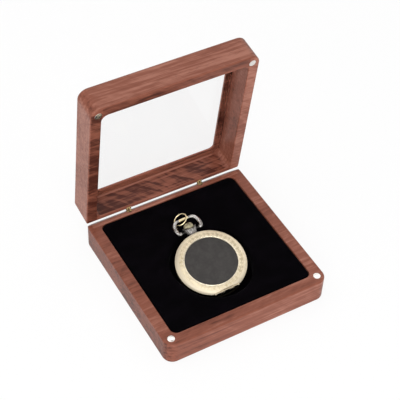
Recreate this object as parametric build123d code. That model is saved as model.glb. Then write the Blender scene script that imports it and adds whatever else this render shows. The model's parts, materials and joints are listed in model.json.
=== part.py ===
from build123d import *
import math
import os

# Pocket watch display box: walnut base and windowed lid on two barrel hinges, with a velvet
# pad that seats a cased pocket watch.
#
# Frame: origin at the middle of the base's underside, X to the right along the hinge line,
# Y from the front to the hinges, Z up. Millimetres. The lid stands open on its hinge stop.
# The watch is built in a frame of its own, with X across it, Y towards its crown and Z out
# of its front cover, and is then laid into the pad's seat.

# ---------------------------------------------------------------- driving dimensions
cut_past = 1.0  # how far a cutting tool runs past the face that it opens

# Wooden box
box_side = 118.0
box_corner_radius = 7.0
base_height = 18.3
lid_height = 19.4
closing_gap = 0.1
face_edge_round = 1.5
mating_edge_round = 0.9
inner_edge_round = 0.5
back_bevel = 5.0
base_rim = 7.8
lid_rim = 7.4
cavity_corner_radius = 4.7
base_floor = 4.6

# Window in the lid
window_lip = 4.2
window_lip_thickness = 1.8
window_corner_radius = 3.2
window_edge_round = 0.6
pane_thickness = 1.8
pane_clearance = 0.1

# Magnets, one in each front corner of the base and of the lid
magnet_radius = 2.45
magnet_hole_radius = 2.5
magnet_thickness = 3.0
magnet_depth = 0.05
magnet_from_side = 5.2
magnet_from_front = 5.8

# Barrel hinges
hinge_x = 27.5
barrel_radius = 2.25
barrel_length = 8.0
pin_spacing = 3.0
pin_radius = 0.5
pin_length = 4.0
hinge_from_back = 4.2
hinge_running_clearance = 0.05
tongue_clearance = 0.05
link_thickness = 0.7
link_offset = 0.85
link_half_width = 1.1
link_slot_clearance = 0.1
link_slot_depth = 1.4
barrel_edge_cut = 0.3
lid_open_angle = 82.6

# Display pad
pad_below_rim = 0.4
pad_clearance = 0.1
board_thickness = 1.2
velvet_thickness = 0.6
seat_x = -0.8
seat_y = -9.2
seat_radius = 26.9
seat_front_radius = 25.3
seat_front_shift = 5.5
seat_floor_height = 7.4

# Watch: where it lies
watch_x = -1.6
watch_y = -11.7
watch_z = 18.5
watch_tilt = 12.5
watch_roll = 5.0

# Watch case, heights are above the widest line of the front cover
case_radius = 23.5
band_radius = 22.9
band_inner_radius = 19.6
band_ledge_radius = 18.8
band_top = -0.6
band_bottom = -4.5
band_collar_top = 0.35
band_collar_radius = 21.3
band_collar_taper = 0.2
ledge_top = -0.35
ledge_bottom = -1.05
cover_bottom = -0.5
cover_widest_height = 0.1
cover_edge_in = 0.1
cover_edge_height = 0.7
cover_skirt_in = 0.15
cover_skirt_thickness = 0.85
cover_ring_inner_radius = 17.45
cover_ring_top = 2.9
cover_ring_lip = 0.45
cover_ring_lip_drop = 0.2
cover_ring_middle = (21.4, 0, 2.1)
cover_plate_bottom = 1.1
cover_plate_top = 1.8
cover_plate_round = 0.4
cover_plate_reach = 20.9
cover_skirt_reach = 21.65
inlay_thickness = 0.55
inlay_clearance = 0.05
back_depth = 8.6
back_seam_drop = 0.5
back_seam_step = 0.2
back_rim_width = 1.0
back_curve = ((15.0, 0, -7.5), (20.0, 0, -6.3))
back_inside_depth = 7.9
back_inside_curve = ((15.0, 0, -6.75), (19.4, 0, -5.6))

# Cover hinge at six o'clock
cover_hinge_y = -21.35
cover_hinge_z = -0.55
knuckle_radius = 0.85
knuckle_clearance = 0.1
knuckle_count = 5
knuckle_length = 3.24
knuckle_gap = 0.1
cover_pin_radius = 0.35
cover_pin_clearance = 0.05

# Under the cover
crystal_radius = 19.5
crystal_edge_height = 0.1
crystal_dome_height = 0.7
dial_radius = 19.4
dial_thickness = 0.35
spacer_inner_radius = 15.0
spacer_bottom = -4.3
movement_radius = 14.9
movement_bottom = -6.3
movement_edge_cut = 0.4
hand_thickness = 0.15
hand_tail_share = 0.22
hand_widest_share = 0.55
hand_root_share = 0.7
hour_hand_length = 9.5
hour_hand_width = 2.0
hour_hand_rise = 0.12
hour_hand_angle = 52.0
minute_hand_length = 14.5
minute_hand_width = 1.5
minute_hand_rise = 0.4
minute_hand_angle = -62.0
hand_hub_radius = 0.9
hand_arbor_radius = 0.45
hand_arbor_clearance = 0.05
hand_arbor_depth = 0.5
hand_arbor_tip = 0.07
arbor_hole_depth = 0.6
stem_hole_margin = 1.5

# Pendant, crown, bow and jump ring
pendant_height = -2.55
pendant_neck_radius = 1.7
pendant_start = 22.0
pendant_outline = ((1.7, 23.7), (3.5, 23.8), (3.45, 25.4), (3.8, 27.4), (4.65, 29.5), (5.1, 30.2),
                   (4.9, 30.5))
pendant_cup = ((3.7, 30.5), (3.2, 28.1), (2.9, 27.2))
pendant_petal_gap = 6.4
pendant_petal_root = 27.4
stem_radius = 0.55
stem_clearance = 0.07
stem_inner_end = 10.0
stem_in_crown = 1.5
crown_bore_clearance = 0.03
crown_start = 27.6
crown_outline = ((2.2, 27.6), (2.6, 28.1), (3.1, 29.3), (3.4, 30.5), (3.4, 32.2), (3.05, 32.95),
                 (2.2, 33.45), (0, 33.7))
bow_pin_y = 28.1
bow_foot_x = 7.4
bow_foot_radius = 1.5
bow_wire_radius = 1.2
bow_half_width = 9.0
bow_bar_y = 38.3
bow_foot_bend_y = 31.0
bow_corner_radius = 3.6
bow_foot_bend_radius = 2.2
bow_pin_radius = 0.5
bow_pin_clearance = 0.05
bow_pin_inner_x = 3.3
bow_drop = 8.0
jump_ring_x = -1.9
jump_ring_y = 39.0
jump_ring_radius = 4.6
jump_ring_wire = 0.45
jump_ring_tilt = 26.0
jump_ring_lean = 15.0

# ---------------------------------------------------------------- derived places
half_side = box_side / 2
mating_height = base_height + closing_gap
hinge_plane = base_height + closing_gap / 2
hinge_y = half_side - hinge_from_back
base_pin_z = hinge_plane - pin_spacing / 2
lid_pin_z = hinge_plane + pin_spacing / 2
link_angle = lid_open_angle / 2
lid_top = mating_height + lid_height
pad_top = base_height - pad_below_rim
board_top = base_floor + board_thickness
lip_height = lid_top - window_lip_thickness
sides = {"left": -1, "right": 1}


def open_link(part):
    """Lean a link back about the base pin, from its place in the closed box."""
    pin = Pos(0, hinge_y, base_pin_z)
    return pin * Rot(-link_angle, 0, 0) * pin.inverse() * part


def open_lid(part):
    """Swing a lid piece to the stop, from its place in the closed box."""
    lean = math.radians(link_angle)
    pin_y = hinge_y + pin_spacing * math.sin(lean)
    pin_z = base_pin_z + pin_spacing * math.cos(lean)
    closed_pin = Pos(0, hinge_y, lid_pin_z)
    return Pos(0, pin_y, pin_z) * Rot(-lid_open_angle, 0, 0) * closed_pin.inverse() * part


def lay_watch(part):
    """Lay a watch piece in the seat, crown end up on the pad and its right side a little raised."""
    turn = Rot(watch_tilt, 0, 0) * Rot(0, -watch_roll, 0)
    return Pos(watch_x, watch_y, watch_z) * turn * part


def block(side, radius, low, high):
    """A square block with rounded upright corners."""
    return extrude(Pos(0, 0, low) * RectangleRounded(side, side, radius), high - low)


def cylinder_z(x, y, low, high, radius):
    return Pos(x, y, (low + high) / 2) * Cylinder(radius, high - low)


def cylinder_x(x, y, z, length, radius):
    return Pos(x, y, z) * Rot(0, 90, 0) * Cylinder(radius, length)


def box_between(low, high):
    size = [b - a for a, b in zip(low, high)]
    middle = [(a + b) / 2 for a, b in zip(low, high)]
    return Pos(*middle) * Box(*size)


def edges_at_height(part, height):
    return part.edges().filter_by_position(Axis.Z, height - 0.001, height + 0.001)


def turned(points):
    """Revolve a closed outline of (radius, height) points about the watch's axis."""
    outline = make_face(Polyline(*[(r, 0, z) for r, z in points], close=True))
    return revolve(outline, Axis.Z)


# ---------------------------------------------------------------- wooden box
def bevel_tool(height, direction):
    """The wedge that bevels a back edge: direction -1 cuts below the height, 1 above it."""
    inner = half_side - back_bevel
    points = [
        (inner - cut_past, height - direction * cut_past),
        (half_side + cut_past, height + direction * (back_bevel + cut_past)),
        (half_side + cut_past, height - direction * cut_past),
    ]
    profile = make_face(Polyline(*[(-box_side, y, z) for y, z in points], close=True))
    return extrude(profile, 2 * box_side, dir=(1, 0, 0))


def magnet_places():
    x = half_side - magnet_from_side
    y = -half_side + magnet_from_front
    return {name: (side * x, y) for name, side in sides.items()}


def mouth_edges(part, height, opening):
    """The edges around a square opening of this width in the face at this height."""
    reach = opening / 2 + 0.01
    return [
        edge
        for edge in edges_at_height(part, height)
        if abs(edge.center().X) < reach and abs(edge.center().Y) < reach
    ]


def make_base_body():
    body = block(box_side, box_corner_radius, 0, base_height)
    body = fillet(edges_at_height(body, 0), face_edge_round)
    body = fillet(edges_at_height(body, base_height), mating_edge_round)
    body -= bevel_tool(base_height, -1)
    cavity = box_side - 2 * base_rim
    body -= block(cavity, cavity_corner_radius, base_floor, base_height + cut_past)
    body = fillet(mouth_edges(body, base_height, cavity), inner_edge_round)
    magnet_floor = base_height - magnet_depth - magnet_thickness
    for x, y in magnet_places().values():
        body -= cylinder_z(x, y, magnet_floor, base_height + cut_past, magnet_hole_radius)
    barrel_floor = base_pin_z - barrel_length
    for side in sides.values():
        x = side * hinge_x
        body -= cylinder_z(x, hinge_y, barrel_floor, base_height + cut_past, barrel_radius)
    return body


def make_lid_frame():
    frame = block(box_side, box_corner_radius, mating_height, lid_top)
    frame = fillet(edges_at_height(frame, lid_top), face_edge_round)
    frame = fillet(edges_at_height(frame, mating_height), mating_edge_round)
    frame -= bevel_tool(mating_height, 1)
    cavity = box_side - 2 * lid_rim
    frame -= block(cavity, cavity_corner_radius, mating_height - cut_past, lip_height)
    frame = fillet(mouth_edges(frame, mating_height, cavity), inner_edge_round)
    window = cavity - 2 * window_lip
    frame -= block(window, window_corner_radius, lip_height - cut_past, lid_top + cut_past)
    frame = fillet(mouth_edges(frame, lid_top, window), window_edge_round)
    magnet_roof = mating_height + magnet_depth + magnet_thickness
    for x, y in magnet_places().values():
        frame -= cylinder_z(x, y, mating_height - cut_past, magnet_roof, magnet_hole_radius)
    barrel_roof = lid_pin_z + barrel_length
    for side in sides.values():
        x = side * hinge_x
        frame -= cylinder_z(x, hinge_y, mating_height - cut_past, barrel_roof, barrel_radius)
    return open_lid(frame)


def make_window_pane():
    side = box_side - 2 * (lid_rim + pane_clearance)
    corner = cavity_corner_radius - pane_clearance
    return open_lid(block(side, corner, lip_height - pane_thickness, lip_height))


def make_magnets():
    magnets = {}
    base_top = base_height - magnet_depth
    lid_bottom = mating_height + magnet_depth
    for name, (x, y) in magnet_places().items():
        in_base = cylinder_z(x, y, base_top - magnet_thickness, base_top, magnet_radius)
        in_lid = cylinder_z(x, y, lid_bottom, lid_bottom + magnet_thickness, magnet_radius)
        magnets["base_magnet_" + name] = in_base
        magnets["lid_magnet_" + name] = open_lid(in_lid)
    return magnets


# ---------------------------------------------------------------- hinges
def make_barrel(x):
    """The lower barrel: a stem with a rounded, slotted tongue around its pin."""
    low = base_pin_z - barrel_length
    barrel = cylinder_z(x, hinge_y, low, base_pin_z, barrel_radius)
    barrel = chamfer(edges_at_height(barrel, base_pin_z), barrel_edge_cut)
    barrel = chamfer(edges_at_height(barrel, low), barrel_edge_cut)
    tongue_radius = pin_spacing / 2 - tongue_clearance
    tongue = cylinder_x(x, hinge_y, base_pin_z, 2 * barrel_radius, tongue_radius)
    tongue &= cylinder_z(x, hinge_y, low, base_pin_z + pin_spacing, barrel_radius - barrel_edge_cut)
    barrel += tongue
    for side in sides.values():
        middle = x + side * link_offset
        half = link_thickness / 2 + link_slot_clearance
        barrel -= box_between(
            (middle - half, hinge_y - 2 * barrel_radius, base_pin_z - link_slot_depth),
            (middle + half, hinge_y + 2 * barrel_radius, base_pin_z + pin_spacing),
        )
    return barrel - cylinder_x(x, hinge_y, base_pin_z, 2 * pin_length, pin_radius)


def make_links(x):
    """Two flat plates with round ends, standing between the two pins."""
    links = []
    hole_radius = pin_radius + hinge_running_clearance
    for side in sides.values():
        middle = x + side * link_offset
        low = (middle - link_thickness / 2, hinge_y - link_half_width, base_pin_z)
        high = (middle + link_thickness / 2, hinge_y + link_half_width, lid_pin_z)
        plate = box_between(low, high)
        for z in (base_pin_z, lid_pin_z):
            plate += cylinder_x(middle, hinge_y, z, link_thickness, link_half_width)
        for z in (base_pin_z, lid_pin_z):
            plate -= cylinder_x(middle, hinge_y, z, 2 * link_thickness, hole_radius)
        links.append(plate)
    return links


def make_hinges():
    pieces = {}
    for name, side in sides.items():
        x = side * hinge_x
        barrel = make_barrel(x)
        upper = mirror(barrel, Plane.XY.offset(hinge_plane))
        base_pin = cylinder_x(x, hinge_y, base_pin_z, pin_length, pin_radius)
        lid_pin = cylinder_x(x, hinge_y, lid_pin_z, pin_length, pin_radius)
        hinge = name + "_hinge_"
        pieces[hinge + "base_barrel"] = barrel
        pieces[hinge + "lid_barrel"] = open_lid(upper)
        pieces[hinge + "links"] = [open_link(plate) for plate in make_links(x)]
        pieces[hinge + "base_pin"] = base_pin
        pieces[hinge + "lid_pin"] = open_lid(lid_pin)
    return pieces


# ---------------------------------------------------------------- display pad
def seat_tool(growth, low, high):
    """The seat's outline, a circle drawn out a little to the front, as a solid."""
    back = seat_radius + growth
    front = seat_front_radius + growth
    rise = (back - front) / seat_front_shift
    run = math.sqrt(1 - rise**2)
    front_y = seat_y - seat_front_shift
    half = [(back * run, seat_y + back * rise), (front * run, front_y + front * rise)]
    corners = [(seat_x + x, y) for x, y in half] + [(seat_x - x, y) for x, y in reversed(half)]
    outline = make_face(Polyline(*corners, close=True))
    outline += Pos(seat_x, seat_y) * Circle(back)
    outline += Pos(seat_x, front_y) * Circle(front)
    return extrude(Pos(0, 0, low) * outline, high - low)


def make_pad():
    side = box_side - 2 * (base_rim + pad_clearance)
    corner = cavity_corner_radius - pad_clearance
    board = block(side, corner, base_floor, board_top)
    foam_side = side - 2 * velvet_thickness
    foam = block(foam_side, corner - velvet_thickness, board_top, pad_top - velvet_thickness)
    foam -= seat_tool(velvet_thickness, seat_floor_height - velvet_thickness, pad_top)
    velvet = block(side, corner, board_top, pad_top)
    velvet -= block(foam_side, corner - velvet_thickness, board_top, pad_top - velvet_thickness)
    liner = seat_tool(velvet_thickness, seat_floor_height - velvet_thickness, pad_top)
    velvet += liner
    velvet -= seat_tool(0, seat_floor_height, pad_top + cut_past)
    return {"pad_board": board, "pad_foam": foam, "pad_velvet": velvet}


# ---------------------------------------------------------------- watch case
def knuckle_places():
    """Centres of the hinge knuckles along X, even ones on the band, odd on the cover."""
    pitch = knuckle_length + knuckle_gap
    first = -pitch * (knuckle_count - 1) / 2
    return [first + pitch * i for i in range(knuckle_count)]


def fit_knuckles(part, own, lug_low, lug_high, notch_low, notch_high, hole_radius):
    """Cut a part flat at the hinge, notch it for the other part's knuckles and add its own."""
    low = (-case_radius, -2 * case_radius, -back_depth)
    part -= box_between(low, (case_radius, cover_hinge_y, back_depth))
    lug_back = cover_hinge_y + knuckle_radius
    clearance = knuckle_radius + knuckle_clearance
    for index, x in enumerate(knuckle_places()):
        low, high = x - knuckle_length / 2, x + knuckle_length / 2
        if index % 2 == own:
            part += box_between((low, cover_hinge_y, lug_low), (high, lug_back, lug_high))
            part += cylinder_x(x, cover_hinge_y, cover_hinge_z, knuckle_length, knuckle_radius)
        else:
            low -= knuckle_gap
            high += knuckle_gap
            notch_back = lug_back + knuckle_clearance
            notch_front = cover_hinge_y - cut_past
            part -= box_between((low, notch_front, notch_low), (high, notch_back, notch_high))
            part -= cylinder_x(x, cover_hinge_y, cover_hinge_z, high - low, clearance)
    return part - cylinder_x(0, cover_hinge_y, cover_hinge_z, 2 * case_radius, hole_radius)


def pendant_tool(radius, start, end):
    """A round solid along the pendant's axis."""
    middle = (start + end) / 2
    return Pos(0, middle, pendant_height) * Rot(90, 0, 0) * Cylinder(radius, end - start)


def make_case_band():
    band = turned([
        (band_inner_radius, band_bottom),
        (band_radius, band_bottom),
        (band_radius, band_top),
        (band_collar_radius + band_collar_taper, band_top),
        (band_collar_radius, band_collar_top),
        (band_inner_radius, band_collar_top),
        (band_inner_radius, ledge_top),
        (band_ledge_radius, ledge_top),
        (band_ledge_radius, ledge_bottom),
        (band_inner_radius, ledge_bottom),
    ])
    notch_low = cover_hinge_z - knuckle_radius - knuckle_clearance
    lug_low = cover_hinge_z - knuckle_radius
    notch_high = band_collar_top + cut_past
    band = fit_knuckles(band, 0, lug_low, band_top, notch_low, notch_high, cover_pin_radius)
    return band - pendant_tool(pendant_neck_radius, 0, case_radius)


def make_front_cover():
    """A shallow dished lid with a broad convex ring around a sunken plate."""
    ring_edge = (case_radius - cover_edge_in, 0, cover_edge_height)
    ring_peak = (cover_ring_inner_radius + cover_ring_lip, 0, cover_ring_top)
    skirt = case_radius - cover_skirt_in
    ring = ThreePointArc(ring_peak, cover_ring_middle, ring_edge)
    rest = Polyline(
        ring_edge,
        (case_radius, 0, cover_widest_height),
        (skirt, 0, cover_bottom),
        (skirt - cover_skirt_thickness, 0, cover_bottom),
        (cover_skirt_reach, 0, cover_plate_bottom - cover_plate_round),
        (cover_plate_reach, 0, cover_plate_bottom),
        (0, 0, cover_plate_bottom),
        (0, 0, cover_plate_top),
        (cover_ring_inner_radius, 0, cover_plate_top),
        (cover_ring_inner_radius, 0, cover_ring_top - cover_ring_lip_drop),
        ring_peak,
    )
    cover = revolve(make_face(ring.edges() + rest.edges()), Axis.Z)
    hole_radius = cover_pin_radius + cover_pin_clearance
    notch_high = cover_hinge_z + knuckle_radius + knuckle_clearance
    notch_low = cover_bottom - cut_past
    lugs = (cover_hinge_z, cover_plate_top)
    return fit_knuckles(cover, 1, *lugs, notch_low, notch_high, hole_radius)


def make_cover_inlay():
    radius = cover_ring_inner_radius - inlay_clearance
    top = cover_plate_top + inlay_thickness
    inlay = cylinder_z(0, 0, cover_plate_top, top, radius)
    return chamfer(edges_at_height(inlay, top), inlay_thickness / 4)


def make_case_back():
    """A domed back that snaps under the band."""
    edge = case_radius - cover_edge_in
    seam = band_bottom - back_seam_drop
    step = edge - back_seam_step
    inner_edge = edge - back_rim_width
    outer = Spline((0, 0, -back_depth), *back_curve, (edge, 0, seam),
                   tangents=[(1, 0, 0), (0.35, 0, 1)])
    inner = Spline((0, 0, -back_inside_depth), *back_inside_curve, (inner_edge, 0, band_bottom),
                   tangents=[(1, 0, 0), (0.6, 0, 1)])
    sides_of_shell = [
        Line((edge, 0, seam), (step, 0, band_bottom)),
        Line((step, 0, band_bottom), (inner_edge, 0, band_bottom)),
        Line((0, 0, -back_inside_depth), (0, 0, -back_depth)),
    ]
    outline = outer.edges() + inner.edges() + [line.edge() for line in sides_of_shell]
    return revolve(make_face(outline), Axis.Z)


def make_crystal():
    rise = crystal_dome_height - crystal_edge_height
    dome_radius = (crystal_radius**2 + rise**2) / (2 * rise)
    crystal = cylinder_z(0, 0, ledge_top, crystal_dome_height, crystal_radius)
    return crystal & Pos(0, 0, crystal_dome_height - dome_radius) * Sphere(dome_radius)


def make_hand(length, width, bore, z, angle):
    """A leaf-shaped hand with a round boss, lying at a height above the dial."""
    widest = length * hand_widest_share
    root = width / 2 * hand_root_share
    right = [(root, 0), (width / 2, widest)]
    left = [(-x, y) for x, y in reversed(right)]
    tail = (0, -length * hand_tail_share)
    leaf = make_face(Polyline(tail, *right, (0, length), *left, close=True))
    outline = leaf + Circle(hand_hub_radius)
    outline -= Circle(bore)
    return Pos(0, 0, z) * Rot(0, 0, angle) * extrude(outline, hand_thickness)


def make_dial_and_hands():
    dial_bottom = ledge_bottom - dial_thickness
    arbor_low = dial_bottom - hand_arbor_depth
    arbor_high = ledge_bottom + minute_hand_rise + hand_thickness + hand_arbor_tip
    bore = hand_arbor_radius + hand_arbor_clearance
    dial = cylinder_z(0, 0, dial_bottom, ledge_bottom, dial_radius)
    hour_z = ledge_bottom + hour_hand_rise
    minute_z = ledge_bottom + minute_hand_rise
    hour = make_hand(hour_hand_length, hour_hand_width, bore, hour_z, hour_hand_angle)
    minute = make_hand(
        minute_hand_length, minute_hand_width, hand_arbor_radius, minute_z, minute_hand_angle)
    return {
        "watch_dial": dial - cylinder_z(0, 0, dial_bottom, ledge_bottom, bore),
        "watch_hand_arbor": cylinder_z(0, 0, arbor_low, arbor_high, hand_arbor_radius),
        "watch_hour_hand": hour,
        "watch_minute_hand": minute,
    }


def make_movement_and_spacer():
    dial_bottom = ledge_bottom - dial_thickness
    stem_bore = stem_radius + stem_clearance
    spacer = cylinder_z(0, 0, spacer_bottom, dial_bottom, dial_radius)
    spacer -= cylinder_z(0, 0, spacer_bottom, dial_bottom, spacer_inner_radius)
    spacer -= pendant_tool(stem_bore, 0, case_radius)
    movement = cylinder_z(0, 0, movement_bottom, dial_bottom, movement_radius)
    movement = chamfer(edges_at_height(movement, movement_bottom), movement_edge_cut)
    movement -= pendant_tool(stem_bore, stem_inner_end - stem_hole_margin, case_radius)
    arbor_bore = hand_arbor_radius + hand_arbor_clearance
    movement -= cylinder_z(0, 0, dial_bottom - arbor_hole_depth, dial_bottom, arbor_bore)
    return {"watch_movement_spacer": spacer, "watch_movement": movement}


# ---------------------------------------------------------------- pendant, crown and bow
def turned_on_pendant(points):
    """Revolve an outline of (radius, distance from the watch's middle) on the pendant's axis."""
    outline = make_face(Polyline(*[(r, y, pendant_height) for r, y in points], close=True))
    return revolve(outline, Axis((0, 0, pendant_height), (0, 1, 0)))


def make_pendant():
    """A neck that opens into a cup of two petals, one on each side of the crown."""
    bore = stem_radius + stem_clearance
    foot = [(bore, pendant_start), (pendant_neck_radius, pendant_start)]
    cup_floor = pendant_cup[-1][1]
    pendant = turned_on_pendant([*foot, *pendant_outline, *pendant_cup, (bore, cup_floor)])
    rim_radius = max(radius for radius, _ in pendant_outline)
    gap_top = pendant_cup[0][1] + cut_past
    gap = make_face(Polyline(
        (0, pendant_petal_root),
        (pendant_petal_gap / 2, gap_top),
        (-pendant_petal_gap / 2, gap_top),
        close=True,
    ))
    pendant -= Pos(0, 0, pendant_height - rim_radius) * extrude(gap, 2 * rim_radius)
    return pendant - cylinder_x(0, bow_pin_y, pendant_height, 2 * rim_radius, bow_pin_radius)


def make_crown():
    crown = turned_on_pendant([(0, crown_start), *crown_outline])
    bore = stem_radius + crown_bore_clearance
    return crown - pendant_tool(bore, 0, crown_start + stem_in_crown)


def make_stem():
    return pendant_tool(stem_radius, stem_inner_end, crown_start + stem_in_crown)


def drop_bow(part):
    """Lower a piece of the bow towards the pad, about its pins."""
    pins = Pos(0, bow_pin_y, pendant_height)
    return pins * Rot(-bow_drop, 0, 0) * pins.inverse() * part


def make_bow():
    """A stirrup of round wire whose two feet are eyed onto the pendant's pins."""
    height = pendant_height
    right = [
        (bow_foot_x, bow_pin_y, height),
        (bow_half_width, bow_foot_bend_y, height),
        (bow_half_width, bow_bar_y, height),
    ]
    left = [(-x, y, z) for x, y, z in reversed(right)]
    radii = [bow_foot_bend_radius, bow_corner_radius, bow_corner_radius, bow_foot_bend_radius]
    path = FilletPolyline(*(right + left), radius=radii)
    section = Plane(origin=path @ 0, z_dir=path % 0) * Circle(bow_wire_radius)
    bow = sweep(section, path)
    for x, y, z in (right[0], left[-1]):
        bow += Pos(x, y, z) * Rot(0, 90, 0) * Sphere(bow_foot_radius)
    hole_radius = bow_pin_radius + bow_pin_clearance
    return drop_bow(bow - cylinder_x(0, bow_pin_y, height, 4 * bow_foot_x, hole_radius))


def make_bow_pins():
    outer = bow_foot_x + bow_foot_radius
    length = outer - bow_pin_inner_x
    middle = (outer + bow_pin_inner_x) / 2
    return [
        cylinder_x(side * middle, bow_pin_y, pendant_height, length, bow_pin_radius)
        for side in sides.values()
    ]


def make_jump_ring():
    middle = Pos(jump_ring_x, jump_ring_y, pendant_height)
    ring = Rot(-jump_ring_lean, 0, 0) * Rot(0, -jump_ring_tilt, 0) * Torus(jump_ring_radius, jump_ring_wire)
    return drop_bow(middle * ring)


def make_watch():
    span = knuckle_length * knuckle_count + knuckle_gap * (knuckle_count - 1)
    pieces = {
        "watch_case_band": make_case_band(),
        "watch_case_back": make_case_back(),
        "watch_front_cover": make_front_cover(),
        "watch_cover_inlay": make_cover_inlay(),
        "watch_cover_pin": cylinder_x(0, cover_hinge_y, cover_hinge_z, span, cover_pin_radius),
        "watch_crystal": make_crystal(),
        "watch_pendant": make_pendant(),
        "watch_stem": make_stem(),
        "watch_crown": make_crown(),
        "watch_bow": make_bow(),
        "watch_bow_pins": make_bow_pins(),
        "watch_jump_ring": make_jump_ring(),
    }
    pieces.update(make_dial_and_hands())
    pieces.update(make_movement_and_spacer())
    return {name: lay_all(piece) for name, piece in pieces.items()}


def lay_all(piece):
    if isinstance(piece, list):
        return [lay_watch(one) for one in piece]
    return lay_watch(piece)


# ---------------------------------------------------------------- export
def main():
    os.makedirs("parts", exist_ok=True)
    nodes = {
        "base_body": make_base_body(),
        "lid_frame": make_lid_frame(),
        "window_pane": make_window_pane(),
    }
    nodes.update(make_magnets())
    nodes.update(make_hinges())
    nodes.update(make_pad())
    nodes.update(make_watch())
    for name, piece in nodes.items():
        solids = piece if isinstance(piece, list) else [piece]
        export_step(Compound(children=[s for one in solids for s in one.solids()]), f"parts/{name}.step")


main()
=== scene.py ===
import json
import math

import bpy
from mathutils import Matrix, Vector


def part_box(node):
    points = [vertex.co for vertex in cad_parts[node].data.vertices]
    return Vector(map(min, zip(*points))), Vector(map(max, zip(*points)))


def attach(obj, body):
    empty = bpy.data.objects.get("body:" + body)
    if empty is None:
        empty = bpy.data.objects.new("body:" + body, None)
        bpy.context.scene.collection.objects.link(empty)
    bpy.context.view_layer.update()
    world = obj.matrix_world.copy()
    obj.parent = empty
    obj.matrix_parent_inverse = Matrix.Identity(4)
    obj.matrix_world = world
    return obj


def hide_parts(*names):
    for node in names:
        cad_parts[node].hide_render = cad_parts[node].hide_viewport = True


bl_info = {
    "name": "Pocket Watch Display Box",
    "version": (1, 0, 0),
    "blender": (4, 5, 0),
    "location": "View3D > Sidebar > Display Box",
    "description": "Dresses a walnut display box, its velvet pad and the pocket watch lying in it",
    "category": "Object",
}

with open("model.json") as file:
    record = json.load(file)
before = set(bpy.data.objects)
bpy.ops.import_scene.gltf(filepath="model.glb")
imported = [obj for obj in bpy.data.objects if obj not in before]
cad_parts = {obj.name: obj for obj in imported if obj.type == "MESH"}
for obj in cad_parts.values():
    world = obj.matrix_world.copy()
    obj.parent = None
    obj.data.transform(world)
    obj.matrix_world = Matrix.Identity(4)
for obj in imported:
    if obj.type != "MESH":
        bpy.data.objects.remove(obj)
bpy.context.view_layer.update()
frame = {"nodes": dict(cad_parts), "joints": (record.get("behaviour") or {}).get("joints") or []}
MM = 0.001
JOINTS = {joint["name"]: joint for joint in frame["joints"]}


# ------------ places read from the frame
def watch_place():
    """The watch's own axes: X across it, Y towards its crown and Z out of its front."""
    spin = JOINTS["minute_hand_turn"]
    out = Vector(spin["axis"]).normalized()
    across = Vector(JOINTS["cover_hinge"]["axis"]).normalized()
    up = out.cross(across)
    place = Matrix((across, up, out)).transposed().to_4x4()
    place.translation = Vector(spin["pos_m"])
    return place


def bow_place():
    """The bow's own axes: from its pins, Y runs towards its bar."""
    pins = Vector(JOINTS["bow_swing"]["pos_m"])
    along = (Vector(JOINTS["jump_ring_swing"]["pos_m"]) - pins).normalized()
    across = Vector(JOINTS["bow_swing"]["axis"]).normalized()
    place = Matrix((across, along, across.cross(along))).transposed().to_4x4()
    place.translation = pins
    return place


def lid_place():
    """Carries a point of the closed lid to where the open lid has it."""
    base_pin = Vector(JOINTS["link_hinge"]["pos_m"])
    lid_pin = Vector(JOINTS["lid_hinge"]["pos_m"])
    closed_pin = base_pin + Vector((0, 0, (lid_pin - base_pin).length))
    swing = sum(JOINTS[name]["range_deg"][0] for name in ("link_hinge", "lid_hinge"))
    turn = Matrix.Rotation(math.radians(swing), 4, "X")
    return Matrix.Translation(lid_pin) @ turn @ Matrix.Translation(-closed_pin)


WATCH = watch_place()
BOW = bow_place()
LID = lid_place()
BOX = Matrix.Identity(4)
STEM_LINE = WATCH.inverted() @ Vector(JOINTS["crown_turn"]["pos_m"])
PENDANT = WATCH @ Matrix.Translation((0, 0, STEM_LINE.z)) @ Matrix.Rotation(-math.pi / 2, 4, "X")


# ------------ settings
class WoodSettings(bpy.types.PropertyGroup):
    dark: bpy.props.FloatVectorProperty(
        name="Dark grain", description="Colour of the late wood and the pores",
        default=(0.062, 0.016, 0.010), size=3, subtype="COLOR", min=0, max=1)
    middle: bpy.props.FloatVectorProperty(
        name="Heartwood", description="Main colour of the walnut",
        default=(0.225, 0.073, 0.045), size=3, subtype="COLOR", min=0, max=1)
    pale: bpy.props.FloatVectorProperty(
        name="Pale grain", description="Colour of the lightest streaks",
        default=(0.36, 0.150, 0.105), size=3, subtype="COLOR", min=0, max=1)
    ring_pitch: bpy.props.FloatProperty(
        name="Ring pitch", description="Usual distance between two growth rings",
        default=3.1 * MM, unit="LENGTH", min=0.2 * MM)


class PadSettings(bpy.types.PropertyGroup):
    colour: bpy.props.FloatVectorProperty(
        name="Velvet", description="Colour of the velvet's pile",
        default=(0.0011, 0.0008, 0.0013), size=3, subtype="COLOR", min=0, max=1)
    lip_round: bpy.props.FloatProperty(
        name="Lip round", description="How softly the velvet rolls into the seat",
        default=1.9 * MM, unit="LENGTH", min=0.2 * MM)
    grain: bpy.props.FloatProperty(
        name="Remesh size", description="Size of the faces that the soft pad is built from",
        default=0.85 * MM, unit="LENGTH", min=0.4 * MM)


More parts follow.
